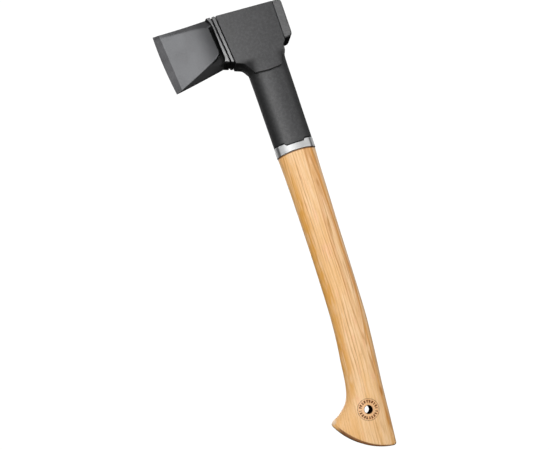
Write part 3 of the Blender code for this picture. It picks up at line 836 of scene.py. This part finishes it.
# ------------------------------------------------------------------ materials
def steel_material():
    s = Shader("coated_steel")
    ay = s.math("ABSOLUTE", s.y)
    bare = s.step(ay, 17.1, 17.7)                       # ground flats of shoulder, strip, poll
    bare = s.math("MAXIMUM", bare, s.math("MULTIPLY", s.step(s.x, 33.9, 34.5), s.step(s.z, 109.5, 110.5)))
    behind = s.step(s.x, 30.0, 34.7)
    mottle = s.noise(s.stretch(0.06, 0.06, 0.06), 1.0, 4.0, 0.55)
    grain = s.noise(s.stretch(1.1, 1.1, 1.1), 1.0, 3.0, 0.6)
    brush = s.noise(s.stretch(0.12, 3.0, 3.2), 1.0, 3.0, 0.65)
    coat = s.ramp(mottle, ((0.25, (0.070, 0.071, 0.074)), (0.75, (0.094, 0.095, 0.098))))
    coat = s.mix(s.step(grain, 0.55, 0.8, 0.0, 0.25), coat, (0.13, 0.13, 0.133))
    # the honed bevel along the cutting edge
    raked_x = s.math("MULTIPLY_ADD", s.z, RAKE, s.x)
    raked_x = s.math("SUBTRACT", raked_x, RAKE * MID_Z)
    honed = s.step(raked_x, -97.2, -97.8)
    # painted shade: the cheek is darkened towards its rear
    coat = s.mix(s.step(raked_x, -66.0, -47.0, 0.0, 0.45), coat, (0.034, 0.034, 0.036))
    coat = s.mix(honed, coat, s.ramp(brush, ((0.3, (0.036, 0.036, 0.038)), (0.7, (0.056, 0.056, 0.058)))))
    # painted shade: the channel behind the cheek is blackened
    painted_recess_shade = s.math("MULTIPLY", s.step(raked_x, -47.6, -46.6), s.step(ay, CHEEK_HALF - 0.2, CHEEK_HALF - 1.4))
    painted_recess_shade = s.math("MULTIPLY", painted_recess_shade, s.step(s.z, 144.5, 139.5))
    coat = s.mix(painted_recess_shade, coat, (0.003, 0.003, 0.003))
    # the lower facet is darker and duller
    crease = s.math("MULTIPLY_ADD", s.x, 0.440, 131.6)
    dark_facet = s.math("MULTIPLY", s.step(s.math("SUBTRACT", crease, s.z), -0.3, 0.6),
                  s.step(raked_x, -43.6, -44.6))
    coat = s.mix(s.math("MULTIPLY", dark_facet, 0.75), coat, (0.010, 0.010, 0.010))
    steel = s.ramp(brush, ((0.3, (0.09, 0.09, 0.091)), (0.7, (0.16, 0.16, 0.161))))
    # painted highlight: the bare steel is lighter towards its lower front end
    painted_low_highlight = s.math("MULTIPLY", s.step(s.z, 146.0, 100.0), s.step(s.x, 0.0, -10.0))
    steel = s.mix(s.math("MULTIPLY", painted_low_highlight, 0.6), steel, (0.30, 0.30, 0.302))
    # painted shade: the underside of the head and of the poll is darkened
    belly = s.math("MULTIPLY", s.step(s.z, 105.0, 103.6), s.step(raked_x, -44.0, -42.5))
    belly = s.math("MULTIPLY", belly, s.step(s.x, 0.0, -10.0))
    foot = s.math("MULTIPLY", s.step(s.z, 109.6, 108.2), s.step(s.x, 20.0, 24.0))
    belly = s.math("MAXIMUM", belly, foot)
    coat = s.mix(s.math("MULTIPLY", belly, 0.85), coat, (0.008, 0.008, 0.008))
    s.set(base=s.mix(bare, coat, steel))
    rough = s.step(mottle, 0.3, 0.7, 0.40, 0.48)
    rough = s.math("MULTIPLY_ADD", s.math("SUBTRACT", brush, 0.5), 0.12, rough)
    dull = s.math("MAXIMUM", s.math("MAXIMUM", dark_facet, painted_recess_shade), belly)
    dull = s.math("MULTIPLY", dull, s.math("SUBTRACT", 1.0, bare))
    s.set(rough=s.math("MAXIMUM", rough, s.step(dull, 0.0, 1.0, 0.0, 0.75)),
          metal=s.step(dull, 0.0, 1.0, 0.92, 0.25), spec=s.step(dull, 0.0, 1.0, 0.5, 0.15))
    fine = s.bump(grain, 0.10, 0.00012)
    lines = s.math("MULTIPLY", brush, s.math("ADD", s.math("MULTIPLY", bare, 0.7), 0.3))
    s.set(normal=s.bump(lines, 0.10, 0.00012, fine))
    return s.mat


def nylon_material():
    s = Shader("moulded_nylon")
    mottle = s.noise(s.stretch(0.05, 0.05, 0.035), 1.0, 4.0, 0.55)
    leather = s.noise(s.stretch(0.9, 0.9, 0.9), 1.0, 4.0, 0.65)
    speck = s.noise(s.stretch(3.4, 3.4, 3.4), 1.0, 2.0, 0.6)
    cloud = s.noise(s.stretch(0.33, 0.33, 0.33, (3.0, 1.0, 7.0)), 1.0, 4.0, 0.7)
    base = s.ramp(mottle, ((0.25, (0.016, 0.016, 0.017)), (0.75, (0.026, 0.026, 0.028))))
    base = s.mix(s.step(cloud, 0.40, 0.66, 0.0, 0.75), base, (0.046, 0.046, 0.048))
    base = s.mix(s.step(speck, 0.56, 0.78, 0.0, 0.5), base, (0.062, 0.062, 0.064))
    # painted shade: the hollow under the flare is darkened, and made rougher and less shiny
    painted_shade_mask = s.math("MULTIPLY", s.step(s.x, -14.5, -19.5), s.step(s.z, 74.0, 84.0))
    ay = s.math("ABSOLUTE", s.y)
    painted_shade_mask = s.math("MULTIPLY", painted_shade_mask, s.step(ay, 17.8, 17.4))
    painted_shade_mask = s.math("MULTIPLY", painted_shade_mask, s.step(s.z, 147.5, 145.5))
    base = s.mix(s.math("MULTIPLY", painted_shade_mask, 0.85), base, (0.004, 0.004, 0.004))
    # painted shade: the narrow sides of the neck are darkened, and made rougher and less shiny
    painted_side_shade = s.math("MULTIPLY", s.step(s.math("ABSOLUTE", s.x), 7.0, 19.0), s.step(s.z, 101.0, 92.0))
    base = s.mix(s.math("MULTIPLY", painted_side_shade, 0.7), base, (0.008, 0.008, 0.008))
    # painted shadow: the foot of the neck by the ferrule's rim is darkened, and made rougher
    on_key = s.step(s.math("ABSOLUTE", s.x), KEY_HALF_WIDTH + KEY_SLOPE, KEY_HALF_WIDTH)
    foot = s.step(s.math("MULTIPLY_ADD", on_key, KEY_DEPTH - 0.2, s.z), 1.9, 0.5)
    base = s.mix(s.math("MULTIPLY", foot, 0.85), base, (0.004, 0.004, 0.004))
    painted_shade_mask = s.math("MAXIMUM", painted_shade_mask, s.math("MULTIPLY", foot, 0.9))
    painted_shade_mask = s.math("MAXIMUM", painted_shade_mask, s.math("MULTIPLY", painted_side_shade, 0.75))
    rough = s.step(leather, 0.3, 0.7, 0.50, 0.62)
    rough = s.math("MAXIMUM", rough, s.step(painted_shade_mask, 0.0, 1.0, 0.0, 0.9))
    s.set(base=base, rough=rough, metal=0.0, spec=s.step(painted_shade_mask, 0.0, 1.0, 0.72, 0.2))
    coarse = s.bump(leather, 0.22, 0.0003)
    s.set(normal=s.bump(speck, 0.22, 0.00012, coarse))
    return s.mat


def ferrule_material():
    s = Shader("satin_ferrule")
    brush = s.noise(s.stretch(0.12, 0.12, 5.0), 1.0, 3.0, 0.7)
    cloud = s.noise(s.stretch(0.25, 0.25, 0.4), 1.0, 3.0, 0.5)
    base = s.ramp(brush, ((0.3, (0.52, 0.525, 0.53)), (0.7, (0.62, 0.623, 0.626))))
    base = s.mix(s.step(cloud, 0.45, 0.75, 0.0, 0.3), base, (0.46, 0.463, 0.465))
    # painted shade: darker bands where the band turns round each end of the oval, darker again at the very ends
    ax = s.math("ABSOLUTE", s.math("ADD", s.x, 1.0))
    turn = s.math("MULTIPLY", s.step(ax, 16.0, 17.4), s.step(ax, 20.0, 18.4))
    base = s.mix(s.math("MULTIPLY", turn, 0.85), base, (0.06, 0.06, 0.061))
    painted_tip_shade = s.step(ax, 18.0, 20.0)
    base = s.mix(s.math("MULTIPLY", painted_tip_shade, 0.5), base, (0.16, 0.16, 0.162))
    s.set(base=base, metal=0.35, rough=s.step(brush, 0.3, 0.7, 0.42, 0.50), spec=0.5)
    s.set(normal=s.bump(brush, 0.10, 0.00008))
    return s.mat


def epoxy_material():
    s = Shader("cured_resin")
    cloud = s.noise(s.stretch(0.2, 0.2, 0.2), 1.0, 4.0, 0.6)
    s.set(base=s.ramp(cloud, ((0.3, (0.42, 0.33, 0.17)), (0.7, (0.56, 0.46, 0.27)))),
          rough=s.step(cloud, 0.3, 0.7, 0.25, 0.45), metal=0.0)
    s.set(normal=s.bump(cloud, 0.2, 0.0003))
    return s.mat


def wood_material():
    s = Shader("hickory")
    m = s.math
    # the figure follows the handle's own bend
    t = m("MAXIMUM", m("SUBTRACT", -150.0, s.z), 0.0)
    t_near = m("MINIMUM", t, 45.0)
    bend = m("MULTIPLY", m("MINIMUM", m("ADD", s.z, 30.0), 0.0), -0.0175)
    bend = m("MINIMUM", bend, 2.1)
    bend = m("MULTIPLY_ADD", m("MULTIPLY", t_near, t_near), 0.0011, bend)
    bend = m("MULTIPLY_ADD", m("MAXIMUM", m("SUBTRACT", t, 45.0), 0.0), 0.095, bend)
    straight = m("ADD", s.x, bend)
    comb = s.tree.nodes.new("ShaderNodeCombineXYZ")
    for socket, value in zip(comb.inputs, (straight, s.y, s.z)):
        s.put(socket, value)
    q = comb.outputs[0]
    # growth rings: nested long boats right of the middle, plain lines left of it
    wob = s.noise(s.stretch(0.05, 0.05, 0.010, of=q), 1.0, 2.0, 0.5)
    fine = s.noise(s.stretch(0.25, 0.25, 0.016, of=q), 1.0, 2.0, 0.6)
    over = m("MULTIPLY", m("MAXIMUM", m("ADD", s.z, 149.0), 0.0), 0.044)
    under = m("MINIMUM", m("MULTIPLY", m("MAXIMUM", m("SUBTRACT", -149.0, s.z), 0.0), 0.075), 7.5)
    depth = m("ADD", m("ADD", over, under), m("MULTIPLY", m("ADD", s.y, 13.0), 0.45))
    dx = m("SUBTRACT", straight, m("MULTIPLY_ADD", m("SUBTRACT", wob, 0.5), 3.0, 10.0))
    r = m("SQRT", m("ADD", m("MULTIPLY", dx, dx), m("MULTIPLY", depth, depth)))
    phase = m("MULTIPLY_ADD", m("SUBTRACT", r, 6.0), 0.36, m("MULTIPLY", m("SUBTRACT", fine, 0.5), 1.5))
    ring = m("FRACT", m("ADD", phase, 0.88))
    late = s.ramp(ring, ((0.0, 0.25), (0.12, 0.0), (0.60, 0.10), (0.78, 0.75), (0.90, 1.0), (1.0, 0.25)))
    strength = s.noise(s.stretch(0.14, 0.14, 0.010, (9.0, 2.0, 4.0), of=q), 1.0, 2.0)
    late = m("MULTIPLY", late, s.step(strength, 0.36, 0.60, 0.20, 1.0))
    late = m("MULTIPLY", late, s.step(s.z, -262.0, -235.0, 0.55, 1.0))
    fibre = s.noise(s.stretch(1.3, 1.3, 0.045, of=q), 1.0, 3.0, 0.65)
    broad = s.noise(s.stretch(0.11, 0.11, 0.016, (0.0, 5.0, 1.0), of=q), 1.0, 3.0)
    tint = s.noise(s.stretch(0.16, 0.16, 0.045, (7.0, 1.0, 3.0), of=q), 1.0, 3.0, 0.6)
    pores = s.noise(s.stretch(2.4, 2.4, 0.22, of=q), 1.0, 2.0)
    base = s.mix(s.step(broad, 0.40, 0.64), (0.900, 0.600, 0.330), (0.860, 0.520, 0.230))
    base = s.mix(s.step(tint, 0.52, 0.70, 0.0, 0.6), base, (0.880, 0.490, 0.270))
    base = s.mix(m("MULTIPLY", late, 0.95), base, (0.520, 0.230, 0.055))
    base = s.mix(s.step(fibre, 0.50, 0.70, 0.0, 0.40), base, (0.640, 0.350, 0.130))
    base = s.mix(s.step(fibre, 0.50, 0.30, 0.0, 0.40), base, (0.960, 0.740, 0.500))
    base = s.mix(s.step(pores, 0.58, 0.72, 0.0, 0.30), base, (0.480, 0.250, 0.090))
    # warmer, patchy wood towards the front side, and one long streak by the back
    patch = s.noise(s.stretch(0.20, 0.20, 0.050, (2.0, 8.0, 5.0), of=q), 1.0, 3.0, 0.6)
    warm = m("MULTIPLY", s.step(straight, -7.0, -15.0), s.step(patch, 0.32, 0.60, 0.25, 1.0))
    warm = m("MULTIPLY", warm, s.step(s.z, -20.0, -75.0, 0.45, 1.0))
    warm = m("MULTIPLY", warm, s.step(s.z, -285.0, -258.0, 0.15, 1.0))
    base = s.mix(m("MULTIPLY", warm, 0.78), base, (0.740, 0.340, 0.045))
    streak_x = m("MULTIPLY_ADD", m("SUBTRACT", wob, 0.5), 4.0, 14.3)
    streak = s.step(m("ABSOLUTE", m("SUBTRACT", straight, streak_x)), 1.5, 0.3)
    streak = m("MULTIPLY", streak, s.step(patch, 0.30, 0.55, 0.35, 1.0))
    base = s.mix(m("MULTIPLY", streak, 0.80), base, (0.680, 0.280, 0.040))
    # the two clearest rings of the boats
    for radius, amount in ((6.0, 0.52), (4.3, 0.38)):
        off = m("MULTIPLY_ADD", m("SUBTRACT", fine, 0.5), 1.2, m("SUBTRACT", r, radius))
        leg = m("MULTIPLY", s.step(m("ABSOLUTE", off), 0.95, 0.25), s.step(s.z, -225.0, -150.0, 0.35, 1.0))
        leg = m("MULTIPLY", leg, s.step(s.y, 2.0, -4.0))
        base = s.mix(m("MULTIPLY", leg, amount), base, (0.580, 0.240, 0.055))
    rim = m("MULTIPLY", s.step(straight, -16.5, -19.5), 0.30)
    base = s.mix(rim, base, (0.700, 0.350, 0.090))
    # the joint under the ferrule is stained
    lift = m("MULTIPLY_ADD", m("MULTIPLY", s.x, s.x), ARCH / 20.9 ** 2, s.z)
    base = s.mix(s.step(lift, ARCH - 13.4, ARCH - 12.5, 0.0, 0.85), base, (0.120, 0.040, 0.010))
    # small dark eyes where the rings close on the near face
    for ex, ez, wx, wz, amount in ((9.4, -49.5, 1.6, 4.5, 0.45), (10.0, -56.0, 2.4, 8.0, 0.25),
                                   (2.6, -277.0, 1.7, 5.0, 0.75), (2.4, -247.0, 1.3, 15.0, 0.60),
                                   (0.8, -308.0, 1.3, 13.0, 0.60), (11.6, -30.0, 1.3, 12.0, 0.40)):
        ax = m("DIVIDE", m("SUBTRACT", s.x, ex), wx)
        az = m("DIVIDE", m("SUBTRACT", s.z, ez), wz)
        rr = m("ADD", m("MULTIPLY", ax, ax), m("MULTIPLY", az, az))
        spot = m("MULTIPLY", s.step(rr, 1.6, 0.0), s.step(s.y, 0.0, -4.0))
        base = s.mix(m("MULTIPLY", spot, amount), base, (0.520, 0.200, 0.035))
    # burnt ring and ticks round the hang hole, on the near cheek only
    hx = m("SUBTRACT", s.x, HOLE_X)
    hz = m("SUBTRACT", s.z, HOLE_Z)
    hr = m("SQRT", m("ADD", m("MULTIPLY", hx, hx), m("MULTIPLY", hz, hz)))
    angle = m("ARCTAN2", hz, hx)
    near = s.step(s.y, -6.0, -8.0)
    wear = s.noise(s.stretch(0.7, 0.7, 0.7), 1.0, 3.0)
    line = m("MULTIPLY", s.step(m("ABSOLUTE", m("SUBTRACT", hr, 11.3)), 0.55, 0.25),
             s.step(wear, 0.36, 0.56, 0.25, 0.70))
    beat = m("FRACT", m("MULTIPLY", angle, 20.0 / (2 * math.pi)))
    irregular = s.noise(s.stretch(0.35, 0.0, 0.35, (4.0, 0.0, 1.0)), 1.0, 1.0)
    half = s.step(irregular, 0.30, 0.70, 0.20, 0.42)
    tick = s.step(m("SUBTRACT", m("ABSOLUTE", m("SUBTRACT", beat, 0.5)), half), 0.05, -0.05)
    band = s.step(m("ABSOLUTE", m("SUBTRACT", hr, 8.6)), 1.55, 1.30)
    tick = m("MULTIPLY", m("MULTIPLY", tick, band), s.step(wear, 0.30, 0.50, 0.65, 1.0))
    # a pair of gaps between the upper and the lower arc of ticks
    gap = s.step(m("ABSOLUTE", m("SINE", m("ADD", angle, 0.30))), 0.10, 0.17)
    tick = m("MULTIPLY", tick, gap)
    toned = m("MULTIPLY", s.step(hr, 11.2, 10.6), 0.35)
    base = s.mix(m("MULTIPLY", toned, near), base, (0.78, 0.40, 0.20))
    mark = m("MULTIPLY", m("MAXIMUM", line, tick), near)
    base = s.mix(m("MULTIPLY", mark, 0.90), base, (0.110, 0.024, 0.004))
    # a dark burnt rim round the hang hole, with painted shade blackening the inside of the hole
    burn_and_hole_shade = s.step(hr, HOLE_RADIUS + 0.75, HOLE_RADIUS + 0.05)
    base = s.mix(burn_and_hole_shade, base, (0.004, 0.002, 0.0015))
    # end grain on the butt, darkened further as painted shade on its lower edge, and a painted highlight on the tip
    # of its toe
    ex = m("SUBTRACT", s.x, 16.1)
    ez = m("SUBTRACT", s.z, -256.1)
    er = m("SQRT", m("ADD", m("MULTIPLY", ex, ex), m("MULTIPLY", ez, ez)))
    below = s.step(s.z, -280.0, -285.0)
    end = m("MULTIPLY", s.step(er, 79.5, 80.5), below)
    end = m("MULTIPLY", end, s.step(s.x, -54.5, -50.0))
    # painted highlight: the tip of the toe is lightened
    tx = m("ADD", s.x, 55.0)
    tz = m("ADD", s.z, 291.5)
    painted_toe_highlight = s.step(m("SQRT", m("ADD", m("MULTIPLY", tx, tx), m("MULTIPLY", tz, tz))), 4.5, 1.5, 0.0, 0.6)
    base = s.mix(painted_toe_highlight, base, (0.80, 0.70, 0.58))
    base = s.mix(end, base, s.mix(late, (0.27, 0.120, 0.045), (0.16, 0.065, 0.022)))
    s.set(base=base, metal=0.0, spec=s.step(m("MAXIMUM", mark, burn_and_hole_shade), 0.0, 1.0, 0.22, 0.0),
          rough=s.step(fibre, 0.3, 0.7, 0.46, 0.58))
    height = m("SUBTRACT", m("MULTIPLY", fibre, 0.5), m("ADD", m("MULTIPLY", mark, 0.8), m("MULTIPLY", late, 0.15)))
    s.set(normal=s.bump(height, 0.18, 0.00022))
    return s.mat


def stage_material(name, level):
    """Plain white that looks even to the camera and returns little light."""
    mat = bpy.data.materials.new(name)
    mat.use_nodes = True
    t = mat.node_tree
    t.nodes.clear()
    out = t.nodes.new("ShaderNodeOutputMaterial")
    mix = t.nodes.new("ShaderNodeMixShader")
    path = t.nodes.new("ShaderNodeLightPath")
    glow = t.nodes.new("ShaderNodeEmission")
    matte = t.nodes.new("ShaderNodeBsdfDiffuse")
    glow.inputs["Strength"].default_value = level
    matte.inputs["Color"].default_value = (0.05, 0.05, 0.05, 1)
    t.links.new(path.outputs["Is Camera Ray"], mix.inputs[0])
    t.links.new(matte.outputs[0], mix.inputs[1])
    t.links.new(glow.outputs[0], mix.inputs[2])
    t.links.new(mix.outputs[0], out.inputs[0])
    return mat


# ------------------------------------------------------------------ build the pieces
def dress(obj, material, node):
    obj.data.materials.clear()
    obj.data.materials.append(material)
    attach(obj, "root")
    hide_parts(node)


dress(build_head(), steel_material(), "axe_head")
dress(build_casing(), nylon_material(), "neck_casing")
dress(build_ferrule(), ferrule_material(), "ferrule")
dress(build_handle(), wood_material(), "handle")
bond = frame["nodes"]["tenon_adhesive"]
bond.data.materials.clear()
bond.data.materials.append(epoxy_material())
for obj in list(cutters.objects):
    bpy.data.objects.remove(obj, do_unlink=True)
bpy.data.collections.remove(cutters)

# ------------------------------------------------------------------ stage, light, camera
bm = bmesh.new()
bmesh.ops.create_grid(bm, x_segments=8, y_segments=8, size=6.0)
mesh = bpy.data.meshes.new("floor")
bm.to_mesh(mesh)
bm.free()
floor = bpy.data.objects.new("floor", mesh)
floor.location = (0, 0, CAD_LO[2] - 0.30)
bpy.context.scene.collection.objects.link(floor)
floor.data.materials.append(stage_material("floor_white", 1.05))

world = bpy.data.worlds.new("studio")
bpy.context.scene.world = world
world.use_nodes = True
wt = world.node_tree
wt.nodes.clear()
w_out = wt.nodes.new("ShaderNodeOutputWorld")
w_mix = wt.nodes.new("ShaderNodeMixShader")
w_path = wt.nodes.new("ShaderNodeLightPath")
w_seen = wt.nodes.new("ShaderNodeBackground")
w_fill = wt.nodes.new("ShaderNodeBackground")
w_seen.inputs["Color"].default_value = (1, 1, 1, 1)
w_seen.inputs["Strength"].default_value = 1.05
w_fill.inputs["Color"].default_value = (1, 1, 1, 1)
w_fill.inputs["Strength"].default_value = 0.04
wt.links.new(w_path.outputs["Is Camera Ray"], w_mix.inputs[0])
wt.links.new(w_fill.outputs[0], w_mix.inputs[1])
wt.links.new(w_seen.outputs[0], w_mix.inputs[2])
wt.links.new(w_mix.outputs[0], w_out.inputs[0])


def area_light(name, location, target, size_x, size_y, power):
    data = bpy.data.lights.new(name, "AREA")
    data.shape = "RECTANGLE"
    data.size, data.size_y = size_x, size_y
    data.energy = power
    obj = bpy.data.objects.new(name, data)
    obj.location = location
    aim = Vector(target) - Vector(location)
    obj.rotation_euler = aim.to_track_quat("-Z", "Y").to_euler()
    obj.visible_camera = False
    bpy.context.scene.collection.objects.link(obj)
    return obj




def panel(name, azimuth, elevation, distance, size_x, size_y, radiance):
    """A soft panel facing the head, by azimuth from the front and radiance."""
    a, e = math.radians(azimuth), math.radians(elevation)
    target = Vector((0.0, 0.0, 0.14))
    place = target + distance * Vector((math.sin(a) * math.cos(e), -math.cos(a) * math.cos(e),
                                        math.sin(e)))
    area_light(name, place, target, size_x, size_y, radiance * math.pi * size_x * size_y)


panel("key", -15.0, 1.0, 1.7, 1.0, 2.5, 5.4)
panel("fill_right", 58.0, 0.0, 1.7, 1.0, 2.3, 1.7)
panel("fill_left", -68.0, 0.0, 1.7, 0.6, 2.3, 0.8)
panel("overhead", -10.0, 62.0, 1.6, 1.2, 0.8, 1.0)
panel("back_right", 118.0, 22.0, 1.9, 1.2, 1.4, 2.0)
panel("back", 186.0, 28.0, 1.9, 2.4, 1.5, 3.0)
panel("back_left", -122.0, 22.0, 1.9, 1.0, 1.4, 0.9)

cam_data = bpy.data.cameras.new("camera")
cam_data.type = "PERSP"
cam_data.sensor_width = 36.0
cam_data.lens = 83.0878
cam_data.clip_start, cam_data.clip_end = 0.01, 50.0
camera = bpy.data.objects.new("camera", cam_data)
camera.location = (-0.20502, -1.326, -0.01298)
camera.rotation_euler = [math.radians(a) for a in (95.66460351, 18.53432211, -5.02059623)]
bpy.context.scene.collection.objects.link(camera)
bpy.context.scene.camera = camera
bpy.context.scene.view_settings.view_transform = "Standard"
bpy.context.scene.view_settings.look = "None"
